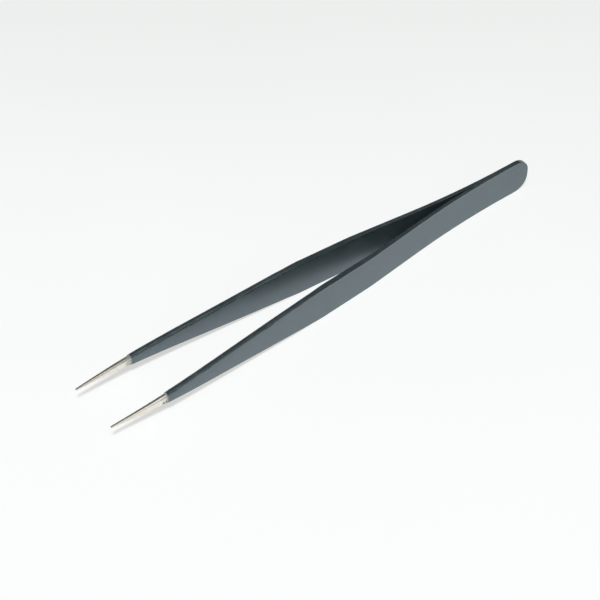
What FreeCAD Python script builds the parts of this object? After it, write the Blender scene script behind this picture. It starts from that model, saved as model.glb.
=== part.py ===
import FreeCAD, Part
import os
import Sketcher

# Anti-static tweezers: two ground spring-steel arms, welded at the head and dipped in black polymer.
# Lengths are in mm. In the body frame X runs from the head end to the points, the arm lies on the +Y side,
# and Z is the width of the strip about its middle.

doc = FreeCAD.newDocument("tweezers")
sheet = doc.addObject("Spreadsheet::Sheet", "sizes")
V = FreeCAD.Vector
row = 0


def cell(name, value):
    """Adds one named size, or a formula of sizes already named."""
    global row
    row += 1
    sheet.set(f"A{row}", name)
    sheet.set(f"B{row}", str(value))
    sheet.setAlias(f"B{row}", name)


# Overall sizes
cell("overall_length", 135.0)
cell("strip_width", 9.8)
cell("coat", 0.15)
cell("bare_length", 15.5)
cell("head_corner_radius", 4.1)

# Side outline: parallel strip from the head to the shoulder, then a straight taper to the point
cell("shoulder_x", 74.3)
cell("shoulder_radius", 30.0)
cell("point_half_width", 0.2)

# Plan outline, inner face: flat land where the arms meet, bow, straight, bend, long curve, ground point
cell("inner_land_offset", 0.0)
cell("inner_land_end", 8.6)
cell("inner_bow_radius", 249.0)
cell("inner_rear_slope", 0.1112)
cell("inner_bend_x", 50.7)
cell("inner_front_slope", 0.063)
cell("inner_front_radius", 3690.0)
cell("inner_point_offset", 7.0)

# Plan outline, outer face
cell("outer_land_offset", 0.49)
cell("outer_land_end", 6.5)
cell("outer_bow_radius", 258.0)
cell("outer_rear_slope", 0.1217)
cell("outer_bend_x", 55.0)
cell("outer_front_slope", 0.0721)
cell("outer_front_radius", 2310.0)
cell("outer_point_offset", 7.5)

# Shared by both faces: the bend at the grip, and the last stretch, which is ground straight to the point
cell("bend_radius", 60.0)
cell("point_length", 15.0)
cell("grind_lead", 4.0)
cell("grind_corner", "=overall_length - point_length")
cell("grind_start", "=grind_corner - grind_lead")

# Bevels along the long edges: position of each station and the leg ground off there.
# The first leg is negative, so each bevel runs out to nothing just ahead of it, at the shoulder.
BEVEL_STATIONS = (
    ("=shoulder_x - 5", -0.12),
    ("=shoulder_x + 9", 0.27),
    ("=(bevel_x_2 + grind_start) / 2", 0.35),
    ("=grind_start", 0.42),
    ("=grind_corner + grind_lead", 0.34),
    ("=overall_length + 1", 0.08),
)
for number, (station, leg) in enumerate(BEVEL_STATIONS, 1):
    cell(f"bevel_x_{number}", station)
    cell(f"bevel_leg_{number}", leg)
cell("cutter_reach", 0.8)

# Skin of polymer that bridges the crotch between the arms
cell("web_start", 13.0)
cell("web_end_gap", 0.1)
cell("web_half_thickness", 0.3)

# Worked sizes
cell("half_length", "=overall_length / 2")
cell("half_strip", "=strip_width / 2")
cell("rest_height", "=half_strip + coat")
cell("skin_end", "=overall_length - bare_length")
cell("taper_slope", "=(half_strip - point_half_width) / (overall_length - shoulder_x)")
cell("taper_cos", "=1 / sqrt(1 + taper_slope ^ 2)")
cell("shoulder_reach", "=shoulder_radius * taper_slope / (1 + 1 / taper_cos)")
cell("web_end", "=inner_land_end + sqrt(2 * inner_bow_radius * (coat + web_end_gap / 2))")


def direction(name, slope):
    """Cosine and sine of the tangent whose slope is given."""
    cell(f"{name}_cos", f"=1 / sqrt(1 + ({slope}) ^ 2)")
    cell(f"{name}_sin", f"=({slope}) / sqrt(1 + ({slope}) ^ 2)")


def outline_cells(f):
    """Works out the joints of one face outline, numbered 1 to 6 from the land to the point, all tangent."""
    direction(f"{f}_rear", f"{f}_rear_slope")
    direction(f"{f}_front", f"{f}_front_slope")
    cell(f"{f}_x_1", f"={f}_land_end")
    cell(f"{f}_y_1", f"={f}_land_offset")
    cell(f"{f}_x_2", f"={f}_x_1 + {f}_bow_radius * {f}_rear_sin")
    cell(f"{f}_y_2", f"={f}_y_1 + {f}_bow_radius * (1 - {f}_rear_cos)")
    turn = f"({f}_rear_sin - {f}_front_sin) / ({f}_rear_cos + {f}_front_cos)"
    cell(f"{f}_bend_reach", f"=bend_radius * {turn}")
    cell(f"{f}_bend_y", f"={f}_y_2 + ({f}_bend_x - {f}_x_2) * {f}_rear_slope")
    cell(f"{f}_x_3", f"={f}_bend_x - {f}_bend_reach * {f}_rear_cos")
    cell(f"{f}_y_3", f"={f}_bend_y - {f}_bend_reach * {f}_rear_sin")
    cell(f"{f}_x_4", f"={f}_bend_x + {f}_bend_reach * {f}_front_cos")
    cell(f"{f}_y_4", f"={f}_bend_y + {f}_bend_reach * {f}_front_sin")
    cell(f"{f}_x_5", "=grind_start")
    cell(f"{f}_grind_sin", f"={f}_front_sin - (grind_start - {f}_x_4) / {f}_front_radius")
    cell(f"{f}_grind_cos", f"=sqrt(1 - {f}_grind_sin ^ 2)")
    cell(f"{f}_y_5", f"={f}_y_4 + {f}_front_radius * ({f}_grind_cos - {f}_front_cos)")
    cell(f"{f}_corner_y", f"={f}_y_5 + (grind_corner - grind_start) * {f}_grind_sin / {f}_grind_cos")
    cell(f"{f}_point_slope", f"=({f}_point_offset - {f}_corner_y) / (overall_length - grind_corner)")
    direction(f"{f}_point", f"{f}_point_slope")
    cell(f"{f}_grind_reach", f"=(grind_corner - grind_start) / {f}_grind_cos")
    turn = f"({f}_grind_sin - {f}_point_sin) / ({f}_grind_cos + {f}_point_cos)"
    cell(f"{f}_grind_radius", f"={f}_grind_reach / ({turn})")
    cell(f"{f}_x_6", f"=grind_corner + {f}_grind_reach * {f}_point_cos")
    cell(f"{f}_y_6", f"={f}_corner_y + {f}_grind_reach * {f}_point_sin")


outline_cells("inner")
outline_cells("outer")


def bevel_cells(number):
    """Offsets of both faces and the half width of the strip at one bevel station."""
    x = f"bevel_x_{number}"
    for f in ("inner", "outer"):
        sine = f"({f}_front_sin - ({x} - {f}_x_4) / {f}_front_radius)"
        curve = f"({f}_y_4 + {f}_front_radius * (sqrt(1 - {sine} ^ 2) - {f}_front_cos))"
        line = f"({f}_corner_y + ({x} - grind_corner) * {f}_point_slope)"
        cell(f"{f}_at_{number}", f"={x} > grind_corner ? {line} : {curve}")
    cell(f"half_width_at_{number}", f"=half_strip - taper_slope * max(0; {x} - shoulder_x)")


for number in range(1, len(BEVEL_STATIONS) + 1):
    bevel_cells(number)
doc.recompute()


def value(expression):
    """Value of an expression of named sizes, with the sheet's prefix on each name."""
    result = sheet.evalExpression(expression)
    return float(getattr(result, "Value", result))


def plane(body, role):
    """One of the body's own origin planes."""
    return next(f for f in body.Origin.OriginFeatures if f.Role == role)


def sketch_on(body, name, role):
    """A sketch attached to one of the body's origin planes."""
    sketch = body.newObject("Sketcher::SketchObject", name)
    sketch.AttachmentSupport = [(plane(body, role), "")]
    sketch.MapMode = "FlatFace"
    return sketch


def drive(sketch, kind, refs, expression):
    """A driving dimension whose value is an expression of named sizes."""
    number = sketch.addConstraint(Sketcher.Constraint(kind, *refs, value(expression)))
    sketch.setExpression(f"Constraints[{number}]", expression)


def fix_point(sketch, geo, end, x, y):
    """Places one end of an edge by two dimensions from the sketch origin."""
    drive(sketch, "DistanceX", (-1, 1, geo, end), x)
    drive(sketch, "DistanceY", (-1, 1, geo, end), y)


def arc_through(start, end, radius, bulge):
    """An arc from start to end; bulge +1 puts its centre on the left of the chord, -1 on the right."""
    chord = end - start
    left = V(-chord.y, chord.x, 0).normalize()
    height = (radius ** 2 - (chord.Length / 2) ** 2) ** 0.5
    centre = (start + end) * 0.5 + left * (bulge * height)
    toward = (start + end) * 0.5 - centre
    middle = centre + toward.normalize() * radius
    return Part.Arc(start, middle, end)


def closed_wire(sketch, points, radii):
    """Joins points given as pairs of expressions into one closed wire.

    radii maps the number of an edge to (radius expression, bulge); every other edge is a straight line.
    """
    places = [V(value(x), value(y), 0) for x, y in points]
    first = sketch.GeometryCount
    ends = []
    for i, start in enumerate(places):
        end = places[(i + 1) % len(places)]
        if i in radii:
            radius, bulge = radii[i]
            sketch.addGeometry(arc_through(start, end, value(radius), bulge))
            # An arc runs counter-clockwise, so one that bulges the other way starts at its far end.
            ends.append((1, 2) if bulge > 0 else (2, 1))
            drive(sketch, "Radius", (first + i,), radius)
        else:
            sketch.addGeometry(Part.LineSegment(start, end))
            ends.append((1, 2))
    for i, (x, y) in enumerate(points):
        before = (i - 1) % len(points)
        joint = (first + before, ends[before][1], first + i, ends[i][0])
        sketch.addConstraint(Sketcher.Constraint("Coincident", *joint))
        fix_point(sketch, first + i, ends[i][0], x, y)


def face_points(f, skin, outward):
    """Joints of one face outline, moved outward along their normals by the skin."""
    bends = ("", "rear", "rear", "front", "grind", "point")
    points = []
    for i, bend in enumerate(bends, 1):
        along, across = (f"sizes.{f}_{bend}_cos", f"sizes.{f}_{bend}_sin") if bend else ("1", "0")
        x = f"sizes.{f}_x_{i} - {outward} * {skin} * {across}"
        y = f"sizes.{f}_y_{i} + {outward} * {skin} * {along}"
        points.append((x, y))
    head = ("sizes.coat - " + skin, f"sizes.{f}_land_offset + {outward} * {skin}")
    across = f"{outward} * {skin} / sizes.{f}_point_cos"
    tip = ("sizes.overall_length", f"sizes.{f}_point_offset + {across}")
    return [head] + points + [tip]


def arm_body(name, skin):
    """One arm grown all round by the skin: "0" gives the steel, "sizes.coat" the outside of its coating."""
    body = doc.addObject("PartDesign::Body", name)

    # Place in the shared frame: head end at +X, lower edge of the coating at Z = 0
    body.Placement.Rotation = FreeCAD.Rotation(V(0, 0, 1), 180)
    body.setExpression("Placement.Base.x", "sizes.half_length")
    body.setExpression("Placement.Base.z", "sizes.rest_height")

    # Plan outline, padded to both sides of the middle of the strip
    plan = sketch_on(body, name + "_plan", "XY_Plane")
    inner = face_points("inner", skin, "-1")
    outer = face_points("outer", skin, "1")
    points = inner + outer[::-1]
    last = len(points) - 1
    radii = {
        1: (f"sizes.inner_bow_radius + {skin}", 1),
        3: (f"sizes.bend_radius - {skin}", -1),
        4: (f"sizes.inner_front_radius - {skin}", -1),
        5: (f"sizes.inner_grind_radius - {skin}", -1),
        last - 2: (f"sizes.outer_bow_radius - {skin}", -1),
        last - 4: (f"sizes.bend_radius + {skin}", 1),
        last - 5: (f"sizes.outer_front_radius + {skin}", 1),
        last - 6: (f"sizes.outer_grind_radius + {skin}", 1),
    }
    closed_wire(plan, points, radii)
    pad = body.newObject("PartDesign::Pad", name + "_strip")
    pad.Profile = plan
    pad.SideType = "Symmetric"
    pad.setExpression("Length", f"sizes.strip_width + 2 * {skin}")

    # Upper side outline: what is cut away over the rounded head corner and over the taper to the point
    side = sketch_on(body, name + "_side", "XZ_Plane")
    top = f"sizes.half_strip + {skin}"
    over = f"{top} + sizes.cutter_reach"
    head = f"sizes.coat - {skin}"
    behind = f"{head} - sizes.cutter_reach"
    radius = f"sizes.head_corner_radius + {skin}"
    corner = [(head, f"{top} - ({radius})"), (f"{head} + {radius}", top), (f"{head} + {radius}", over),
              (behind, over), (behind, f"{top} - ({radius})")]
    closed_wire(side, corner, {0: (radius, -1)})
    before = "sizes.shoulder_x - sizes.shoulder_reach"
    ahead = "sizes.shoulder_reach * sizes.taper_cos"
    beyond = "sizes.overall_length + sizes.cutter_reach"
    taper = [(before, top),
             (f"sizes.shoulder_x + {ahead}", f"{top} - {ahead} * sizes.taper_slope"),
             (beyond, f"{top} - ({beyond} - sizes.shoulder_x) * sizes.taper_slope"),
             (beyond, over), (before, over)]
    closed_wire(side, taper, {0: ("sizes.shoulder_radius", -1)})
    profile = body.newObject("PartDesign::Pocket", name + "_profile")
    profile.Profile = side
    profile.SideType = "Symmetric"
    profile.Type = "ThroughAll"

    # Ground bevels: a three-cornered cutter lofted along each upper long edge
    cutters = [profile]
    for f, outward in (("inner", "-1"), ("outer", "1")):
        sections = []
        for number in range(1, len(BEVEL_STATIONS) + 1):
            section = sketch_on(body, f"{name}_{f}_bevel_{number}", "YZ_Plane")
            section.setExpression("AttachmentOffset.Base.z", f"sizes.bevel_x_{number}")
            edge_y = f"sizes.{f}_at_{number} + {outward} * {skin}"
            edge_z = f"sizes.half_width_at_{number} + {skin}"
            leg = f"(sizes.bevel_leg_{number} + (2 - sqrt(2)) * {skin})"
            reach = "sizes.cutter_reach"
            closed_wire(section, [
                (f"{edge_y} - {outward} * ({leg} + {reach})", f"{edge_z} + {reach}"),
                (f"{edge_y} + {outward} * {reach}", f"{edge_z} - {leg} - {reach}"),
                (f"{edge_y} + {outward} * {reach}", f"{edge_z} + {reach}"),
            ], {})
            sections.append(section)
        bevel = body.newObject("PartDesign::SubtractiveLoft", f"{name}_{f}_bevel")
        bevel.Profile = sections[0]
        bevel.Sections = sections[1:]
        bevel.Ruled = False
        cutters.append(bevel)

    # The lower edges are ground the same way
    lower = body.newObject("PartDesign::Mirrored", name + "_lower_edges")
    lower.Originals = cutters
    lower.MirrorPlane = (plane(body, "XY_Plane"), [""])
    body.Tip = lower
    doc.recompute()
    return body


def mirrored(name, source):
    """The same solid on the other side of the weld plane."""
    twin = doc.addObject("Part::Mirroring", name)
    twin.Source = source
    twin.Normal = V(0, 1, 0)
    twin.Base = V(0, 0, 0)
    return twin


def block(name, low, high):
    """A box between two corners given as expressions."""
    box = doc.addObject("Part::Box", name)
    for axis, start, end, length in zip("xyz", low, high, ("Length", "Width", "Height")):
        box.setExpression(f"Placement.Base.{axis}", start)
        box.setExpression(length, f"{end} - ({start})")
    return box


# Steel arms
arm_left = arm_body("arm_left", "0")
arm_right = mirrored("arm_right", arm_left)

# Outside of the coating: both grown arms, joined by the web of polymer in the crotch
grown_left = arm_body("grown_left", "sizes.coat")
grown_right = mirrored("grown_right", grown_left)
web = block("web",
            ("sizes.half_length - sizes.web_end", "-sizes.web_half_thickness", "0"),
            ("sizes.half_length - sizes.web_start", "sizes.web_half_thickness", "2 * sizes.rest_height"))
outside = doc.addObject("Part::MultiFuse", "outside")
outside.Shapes = [grown_left, grown_right, web]

# The skin stops short of the points and leaves the room of the steel free
bare_points = block("bare_points",
                    ("-sizes.overall_length", "-sizes.half_length", "-sizes.half_length"),
                    ("sizes.half_length - sizes.skin_end", "sizes.half_length", "sizes.half_length"))
left_out = doc.addObject("Part::MultiFuse", "left_out")
left_out.Shapes = [arm_left, arm_right, bare_points]
coating = doc.addObject("Part::Cut", "antistatic_coating")
coating.Base = outside
coating.Tool = left_out
doc.recompute()

for made in doc.Objects:
    if "Invalid" in made.State or "Error" in made.State:
        raise RuntimeError(f"{made.Label} did not build: {made.State}")

os.makedirs("parts", exist_ok=True)
for piece in (arm_left, arm_right, coating):
    shape = piece.Shape
    if shape.isNull() or not shape.isValid() or len(shape.Solids) != 1:
        raise RuntimeError(f"{piece.Label} is not one valid solid")
    shape.exportStep(f"parts/{piece.Label}.step")
    box = shape.BoundBox
    print(piece.Label, round(shape.Volume, 2), len(shape.Faces), [round(v, 3) for v in
          (box.XMin, box.XMax, box.YMin, box.YMax, box.ZMin, box.ZMax)])
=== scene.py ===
import bpy
import bmesh
from mathutils import Matrix, Vector, noise


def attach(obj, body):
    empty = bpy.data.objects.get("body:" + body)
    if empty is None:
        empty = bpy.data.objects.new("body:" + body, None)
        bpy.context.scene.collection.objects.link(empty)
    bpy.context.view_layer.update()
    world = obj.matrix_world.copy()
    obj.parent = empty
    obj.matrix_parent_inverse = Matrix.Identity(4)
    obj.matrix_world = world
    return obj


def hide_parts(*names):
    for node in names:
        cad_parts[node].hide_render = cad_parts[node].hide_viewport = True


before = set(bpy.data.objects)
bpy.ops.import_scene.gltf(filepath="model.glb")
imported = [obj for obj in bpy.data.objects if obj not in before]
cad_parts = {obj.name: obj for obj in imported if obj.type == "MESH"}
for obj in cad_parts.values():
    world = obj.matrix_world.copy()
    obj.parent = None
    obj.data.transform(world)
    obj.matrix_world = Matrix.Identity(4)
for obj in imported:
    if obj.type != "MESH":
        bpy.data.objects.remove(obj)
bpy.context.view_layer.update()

# Camera
# Looks down on the tweezers from the near left, with the points towards the lower left of the frame.
# Place and turn were solved together with the outline from the photograph's edges.
camera_place = Vector((-0.270265, -0.327315, 0.450175))
camera_right = Vector((0.79056, -0.61210, 0.01896))
camera_up = Vector((0.43570, 0.58394, 0.68497))
camera = bpy.data.objects.new("camera", bpy.data.cameras.new("camera"))
bpy.context.scene.collection.objects.link(camera)
camera.matrix_world = Matrix((camera_right, camera_up, camera_right.cross(camera_up))).transposed().to_4x4()
camera.location = camera_place
camera.data.sensor_width = 36.0
camera.data.lens = 150.0
camera.data.clip_start = 0.01
camera.data.clip_end = 50.0
bpy.context.scene.camera = camera

# Table, lamp and room
# A plain white table under one broad lamp high on the camera's side, in a dim room.
# The black skin mirrors the bright table on its sides and the dim room on its upper edges.
# A pale backdrop stands low all round the table, and a camera that looks past the table's end sees it.
table_size = 12.0
table_gap = 0.00002
table_ripple_scale = 9.0
away_from_camera = (0.597, 0.802, 0.0)
tone_start = -0.11
tones_per_metre = 4.6
tone_ripple = 0.25
# The table's tones from near to far: the darker far end is painted shade
table_tones_with_far_shade = ((0.0, (0.968, 0.985, 0.985, 1.0)), (0.35, (0.958, 0.975, 0.975, 1.0)),
               (0.6, (0.932, 0.950, 0.948, 1.0)), (1.0, (0.845, 0.860, 0.855, 1.0)))
plain_share = 0.6
shadow_warmth = (1.01, 1.0, 0.972)
lamp_direction = Vector((-0.28, -0.32, 0.90))
lamp_spread = 0.19
lamp_strength = 2.86
lamp_colour = (0.985, 0.995, 1.045)
room_near = (0.24, 0.225, 0.205, 1.0)
room_far = (0.085, 0.092, 0.088, 1.0)
far_side = (0.47, 0.88, 0.0)
backdrop_tone = (0.845, 0.860, 0.855, 1.0)
backdrop_top = 0.11
backdrop_fade = 0.24


class Field:
    """A shader value or colour that Python's operators can work on, for the finishes below."""

    def __init__(self, tree, socket):
        self.tree = tree
        self.socket = socket

    def plug(self, node, name, value):
        """Puts a value, or the link of another field, into one socket of a node."""
        socket = node.inputs[name]
        if isinstance(value, Field):
            self.tree.links.new(value.socket, socket)
        else:
            socket.default_value = value

    def node(self, kind, settings=None, output=0, **sockets):
        """Adds any node. In a socket's name _ stands for a space, and _0 is the socket with number 0."""
        made = self.tree.nodes.new(kind)
        for name, value in (settings or {}).items():
            if name == "stops":
                ramp = made.color_ramp
                while len(ramp.elements) < len(value):
                    ramp.elements.new(0.5)
                for element, (place, colour) in zip(ramp.elements, value):
                    element.position = place
                    element.color = colour
            else:
                setattr(made, name, value)
        for name, value in sockets.items():
            key = int(name[1:]) if name[0] == "_" else name.replace("_", " ")
            self.plug(made, key, value)
        return Field(self.tree, made.outputs[output])

    def beside(self, output):
        """Another output of the node that this field comes from."""
        return Field(self.tree, self.socket.node.outputs[output])

    def maths(self, operation, other=0.0, swap=False):
        """One Math node on this field and another value, or on the two in the other order."""
        first, second = (other, self) if swap else (self, other)
        return self.node("ShaderNodeMath", {"operation": operation}, _0=first, _1=second)

    def __add__(self, other):
        return self.maths("ADD", other)

    __radd__ = __add__

    def __sub__(self, other):
        return self.maths("SUBTRACT", other)

    def __rsub__(self, other):
        return self.maths("SUBTRACT", other, swap=True)

    def __mul__(self, other):
        return self.maths("MULTIPLY", other)

    __rmul__ = __mul__

    def step(self, low, high):
        """Rises smoothly from 0 at low to 1 at high."""
        return self.node("ShaderNodeMapRange", {"interpolation_type": "SMOOTHSTEP"},
                         Value=self, From_Min=low, From_Max=high, To_Min=0.0, To_Max=1.0)

    def blend(self, first, second):
        """Mixes two colours, with this field as the share of the second."""
        return self.node("ShaderNodeMix", {"data_type": "RGBA"}, 2, Factor=self, _6=first, _7=second)


def finish(name):
    """Starts a material: returns it, its shader, its object coordinates and a maker of shader fields."""
    material = bpy.data.materials.new(name)
    material.use_nodes = True
    tree = material.node_tree
    shader = tree.nodes["Principled BSDF"]
    maker = Field(tree, None)
    place = maker.node("ShaderNodeTexCoord", output=3)
    return material, shader, place, maker


def dress(piece, material):
    """Gives a piece one material in place of those it has."""
    piece.data.materials.clear()
    piece.data.materials.append(material)


bpy.ops.object.select_all(action="DESELECT")
bpy.ops.mesh.primitive_plane_add(size=table_size, location=(0, 0, -table_gap))
table = bpy.context.object
table.name = "table_top"

lamp = bpy.data.objects.new("broad_lamp", bpy.data.lights.new("broad_lamp", "SUN"))
bpy.context.scene.collection.objects.link(lamp)
lamp.rotation_euler = lamp_direction.to_track_quat("Z", "Y").to_euler()
lamp.data.energy = lamp_strength
lamp.data.color = lamp_colour
lamp.data.angle = lamp_spread

room = bpy.data.worlds.new("room")
bpy.context.scene.world = room
room.use_nodes = True
make = Field(room.node_tree, None)
toward = make.node("ShaderNodeTexCoord")
farness = make.node("ShaderNodeVectorMath", {"operation": "DOT_PRODUCT"}, 1, _0=toward, _1=far_side)
skyward = make.node("ShaderNodeVectorMath", {"operation": "DOT_PRODUCT"}, 1, _0=toward, _1=(0.0, 0.0, 1.0))
walls = farness.step(-0.45, 0.55).blend(room_near, room_far)
make.plug(room.node_tree.nodes["Background"], "Color",
          skyward.step(backdrop_top, backdrop_fade).blend(backdrop_tone, walls))

bpy.context.scene.view_settings.view_transform = "Standard"

# Table top: white laminate with the faintest unevenness, and painted shade that darkens it a little towards
# the far side
table_white, shader, place, make = finish("table_white")
along = make.node("ShaderNodeVectorMath", {"operation": "DOT_PRODUCT"}, 1, _0=place, _1=away_from_camera)
ripple = make.node("ShaderNodeTexNoise", Vector=place, Scale=table_ripple_scale, Detail=2.0)
tone_place = (along - tone_start) * tones_per_metre + (ripple - 0.5) * tone_ripple
# The ramp is painted shade, darker the farther the table lies from the camera
tone = make.node("ShaderNodeValToRGB", {"stops": table_tones_with_far_shade}, Fac=tone_place)
make.plug(shader, "Base Color", tone)
make.plug(shader, "Roughness", 0.9)
make.plug(shader, "Specular IOR Level", 0.1)
warmed = make.node("ShaderNodeVectorMath", {"operation": "MULTIPLY"}, _0=tone, _1=shadow_warmth)
plain = make.node("ShaderNodeEmission", Color=warmed, Strength=1.0)
seen = make.node("ShaderNodeLightPath") * plain_share
surface = Field(make.tree, shader.outputs[0])
mixed = make.node("ShaderNodeMixShader", _0=seen, _1=surface, _2=plain)
make.plug(make.tree.nodes["Material Output"], "Surface", mixed)
dress(table, table_white)

# Steel arms
# Two strips of ground spring steel, welded face to face at the head. Only the points show, past the skin.
# They are ground lengthwise, bevelled along all four edges and polished, with a polymer haze by the skin.
point_end = -0.0675
skin_end = -0.052
strip_middle = 0.00505
steel_half_width = 0.0049
shoulder_place = -0.0068
taper_slope = 0.0774
bevel_at_point = 0.0001
bevel_growth = 0.0217
bevel_most = 0.00038
bevel_tilt = 0.6
steel_dull = (0.79, 0.745, 0.65, 1.0)
steel_bright = (0.84, 0.795, 0.70, 1.0)
ground_brown = (0.33, 0.28, 0.24, 1.0)
haze_grey = (0.52, 0.52, 0.49, 1.0)
dark_mark_black = (0.045, 0.045, 0.043, 1.0)


def inside_edge(lengthwise, height, full_half_width):
    """How far a place is inside the long edge of a strip, which tapers in front of the shoulder."""
    half_width = full_half_width - taper_slope * (shoulder_place - lengthwise).maths("MAXIMUM", 0.0)
    return half_width - (height - strip_middle).maths("ABSOLUTE")


steel, shader, place, make = finish("ground_steel")
lengthwise = make.node("ShaderNodeSeparateXYZ", Vector=place)
across = lengthwise.beside(1)
height = lengthwise.beside(2)
stretched = make.node("ShaderNodeMapping", Vector=place, Scale=(90.0, 7000.0, 7000.0))
lines = make.node("ShaderNodeTexNoise", Vector=stretched, Scale=1.0, Detail=4.0)
patches = make.node("ShaderNodeTexNoise", Vector=place, Scale=700.0, Detail=4.0)
grains = make.node("ShaderNodeTexNoise", Vector=place, Scale=2300.0, Detail=2.0)
far_arm = across.step(-0.001, 0.001)

# Haze by the skin's end, stronger on the far arm, and small dark marks on the lower half of the near one
haze_place = lengthwise + (patches - 0.5) * 0.0012
haze = haze_place.step(skin_end - 0.0019, skin_end - 0.0006) * (0.35 + 0.5 * far_arm)
lower_half = 1.0 - height.step(strip_middle - 0.0004, strip_middle)
dark_marks = lengthwise.step(skin_end - 0.0016, skin_end - 0.0010) * grains.step(0.48, 0.51)
dark_marks = dark_marks * lower_half * (1.0 - 0.8 * far_arm)

# A brown line where each bevel meets the face, and a little more tilt on the bevel itself
from_edge = inside_edge(lengthwise, height, steel_half_width)
bevel_leg = (bevel_at_point + bevel_growth * (lengthwise - point_end)).maths("MINIMUM", bevel_most)
ground_line = 1.0 - (from_edge - bevel_leg).maths("ABSOLUTE").step(0.00003, 0.00008)
slant = bevel_tilt * (bevel_leg - from_edge).maths("MAXIMUM", 0.0)
scratched = make.node("ShaderNodeBump", Strength=0.3, Distance=0.00002, Height=lines)
tilted = make.node("ShaderNodeBump", Strength=1.0, Distance=1.0, Height=slant, Normal=scratched)

polished = patches.step(0.30, 0.70).blend(steel_dull, steel_bright)
lined = (0.65 * ground_line).blend(polished, ground_brown)
hazed = haze.blend(lined, haze_grey)
make.plug(shader, "Base Color", dark_marks.blend(hazed, dark_mark_black))
make.plug(shader, "Metallic", 1.0 - dark_marks)
make.plug(shader, "Roughness", 0.20 + 0.14 * lines + 0.06 * patches + 0.25 * haze)
make.plug(shader, "Normal", tilted)
for name in ("arm_left", "arm_right"):
    dress(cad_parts[name], steel)

# Anti-static skin
# One dipped polymer skin about 0.15 mm thick over both arms, ending in a cut edge short of the points.
# It starts from a merged copy of the CAD skin, and its outer edges get the soft rounding of a dipped layer.
skin_round = 0.00011
corner_angle = 1.2
flat_angle = 0.003
smooth_angle = 0.9
first_merge = 0.000005
later_merge = 0.000002
cut_slack = 0.0000001
shoulder_blend = 0.0035
shoulder_cuts = [shoulder_place + 0.001 * step for step in (-3.5, -2.4, -1.2, 0.0, 1.2, 2.4, 3.5)]
shoulder_clear = 0.0045
even_cuts = [-0.0493 + 0.0024 * step for step in range(47)]
rim_depth = 0.00001
rim_band = 0.0007
rim_step = 0.0003
rim_pieces = 5
rim_wander = 0.00022

skin = bpy.data.objects.new("dipped_skin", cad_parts["antistatic_coating"].data.copy())
bpy.context.scene.collection.objects.link(skin)
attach(skin, "root")
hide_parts("antistatic_coating")
rim_x = min(corner.co.x for corner in skin.data.vertices)
bpy.ops.object.select_all(action="DESELECT")
bpy.context.view_layer.objects.active = skin
skin.select_set(True)
bpy.ops.mesh.customdata_custom_splitnormals_clear()

# Merged, then cut across at even steps, and closer ones at the shoulder
bpy.ops.object.mode_set(mode="EDIT")
bpy.ops.mesh.select_mode(type="EDGE")
bpy.ops.mesh.select_all(action="SELECT")
bpy.ops.mesh.remove_doubles(threshold=first_merge)
bpy.ops.mesh.dissolve_limited(angle_limit=flat_angle)
for cut in shoulder_cuts + [x for x in even_cuts if abs(x - shoulder_place) > shoulder_clear]:
    bpy.ops.mesh.select_all(action="SELECT")
    bpy.ops.mesh.bisect(plane_co=(cut, 0, 0), plane_no=(1, 0, 0), threshold=cut_slack)
bpy.ops.mesh.select_all(action="SELECT")
bpy.ops.mesh.remove_doubles(threshold=later_merge)

# Shoulder: the corner in the side outline becomes a parabola, as long on each side as shoulder_blend
outline = bmesh.from_edit_mesh(skin.data)
for corner in outline.verts:
    ahead = shoulder_place + shoulder_blend - corner.co.x
    if 0 < ahead < 2 * shoulder_blend:
        sharp = taper_slope * max(0.0, ahead - shoulder_blend)
        eased = taper_slope * ahead ** 2 / (4 * shoulder_blend)
        share = (strip_middle - eased) / (strip_middle - sharp)
        corner.co.z = strip_middle + (corner.co.z - strip_middle) * share

# Long outer corners: rounded, apart from those of the cut ends
bpy.ops.mesh.select_all(action="DESELECT")
outline = bmesh.from_edit_mesh(skin.data)
for edge in outline.edges:
    on_rim = all(corner.co.x < rim_x + rim_depth for corner in edge.verts)
    edge.select = edge.calc_face_angle_signed(0.0) > corner_angle and not on_rim
outline.select_flush_mode()
bmesh.update_edit_mesh(skin.data)
bpy.ops.mesh.bevel(offset=skin_round, segments=3, profile=0.5, clamp_overlap=False, loop_slide=True)
bpy.ops.mesh.select_all(action="SELECT")
bpy.ops.mesh.remove_doubles(threshold=later_merge)

# Cut ends: their long edges are divided, and every corner there moves along the arm by a little noise
bpy.ops.mesh.bisect(plane_co=(rim_x + rim_band, 0, 0), plane_no=(1, 0, 0), threshold=cut_slack)
bpy.ops.mesh.select_all(action="DESELECT")
outline = bmesh.from_edit_mesh(skin.data)
for edge in outline.edges:
    on_rim = all(corner.co.x < rim_x + rim_depth for corner in edge.verts)
    edge.select = on_rim and edge.calc_length() > rim_step
outline.select_flush_mode()
bmesh.update_edit_mesh(skin.data)
bpy.ops.mesh.subdivide(number_cuts=rim_pieces - 1)
bpy.ops.mesh.select_mode(type="FACE")
bpy.ops.mesh.select_all(action="DESELECT")
outline = bmesh.from_edit_mesh(skin.data)
for face in outline.faces:
    face.select = face.calc_center_median().x < rim_x + rim_depth
bmesh.update_edit_mesh(skin.data)
bpy.ops.mesh.quads_convert_to_tris()
outline = bmesh.from_edit_mesh(skin.data)
for corner in outline.verts:
    if corner.co.x < rim_x + rim_depth:
        spot = Vector((0.0, corner.co.y, corner.co.z))
        corner.co.x += rim_wander * (noise.noise(spot * 900.0) + 0.6 * noise.noise(spot * 2300.0))
bmesh.update_edit_mesh(skin.data)
bpy.ops.object.mode_set(mode="OBJECT")

bpy.ops.object.shade_smooth_by_angle(angle=smooth_angle)
even = skin.modifiers.new("even_shading", "WEIGHTED_NORMAL")
even.keep_sharp = True
even.weight = 75
bpy.ops.object.modifier_apply(modifier=even.name)

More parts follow.
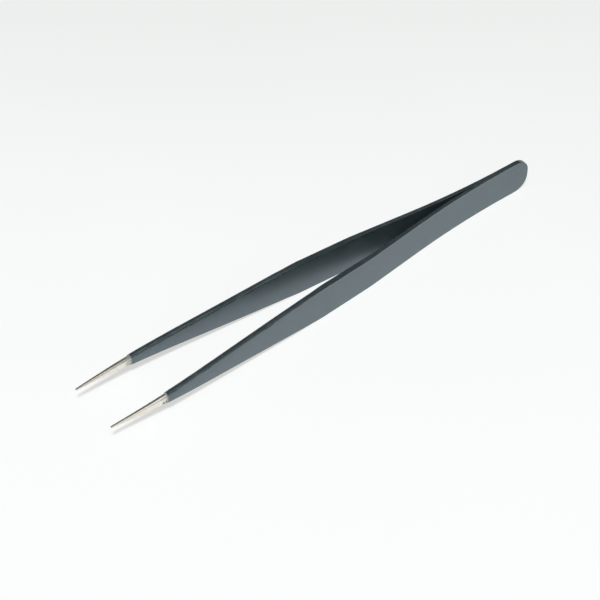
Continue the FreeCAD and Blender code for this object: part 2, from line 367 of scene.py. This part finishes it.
# Satin black polymer: cloudy, finely pebbled, rubbed, dusty, smooth over the edges and pale where cut
skin_half_width = 0.00505
skin_dark = (0.018, 0.028, 0.031, 1.0)
skin_light = (0.028, 0.040, 0.044, 1.0)
rubbed_grey = (0.060, 0.072, 0.078, 1.0)
worn_grey = (0.100, 0.118, 0.118, 1.0)
rim_grey = (0.420, 0.430, 0.410, 1.0)
dust_grey = (0.420, 0.430, 0.400, 1.0)
dust_scale = 420.0

coating, shader, place, make = finish("black_polymer")
lengthwise = make.node("ShaderNodeSeparateXYZ", Vector=place)
height = lengthwise.beside(2)
pebble = make.node("ShaderNodeTexNoise", Vector=place, Scale=2400.0, Detail=3.0)
cloudy = make.node("ShaderNodeTexNoise", Vector=place, Scale=150.0, Detail=4.0)
fine = make.node("ShaderNodeTexNoise", Vector=place, Scale=900.0, Detail=3.0)
stretched = make.node("ShaderNodeMapping", Vector=place, Scale=(260.0, 5200.0, 2600.0))
strokes = make.node("ShaderNodeTexNoise", Vector=stretched, Scale=1.0, Detail=2.0)
from_edge = inside_edge(lengthwise, height, skin_half_width)
worn = (1.0 - from_edge.step(0.00003, 0.00030)) * (0.6 * fine + 0.4 * strokes).step(0.50, 0.62)
drawn_smooth = 1.0 - from_edge.step(0.00025, 0.00065)
rim = 1.0 - (lengthwise + (fine - 0.5) * 0.0003).step(skin_end + 0.00005, skin_end + 0.00025)
rubbed = strokes.step(0.60, 0.72) * cloudy.step(0.45, 0.60)
dust = make.node("ShaderNodeTexVoronoi", Vector=place, Scale=dust_scale, Randomness=1.0)
chance = make.node("ShaderNodeSeparateColor", Color=dust.beside(1))
specks = (1.0 - dust.step(0.02, 0.06)) * chance.step(0.86, 0.90)

base = cloudy.step(0.3, 0.7).blend(skin_dark, skin_light)
base = (0.40 * rubbed).blend(base, rubbed_grey)
base = (0.20 * worn).blend(base, worn_grey)
base = (0.85 * rim).blend(base, rim_grey)
base = (0.85 * specks).blend(base, dust_grey)
make.plug(shader, "Base Color", base)
make.plug(shader, "Roughness", 0.34 + 0.10 * cloudy + 0.05 * fine - 0.15 * drawn_smooth)
make.plug(shader, "IOR", 1.735)
make.plug(shader, "Specular IOR Level", 1.0)
make.plug(shader, "Specular Tint", (0.80, 0.957, 1.0, 1.0))
make.plug(shader, "Normal", make.node("ShaderNodeBump", Strength=0.20, Distance=0.00003, Height=pebble))
dress(skin, coating)
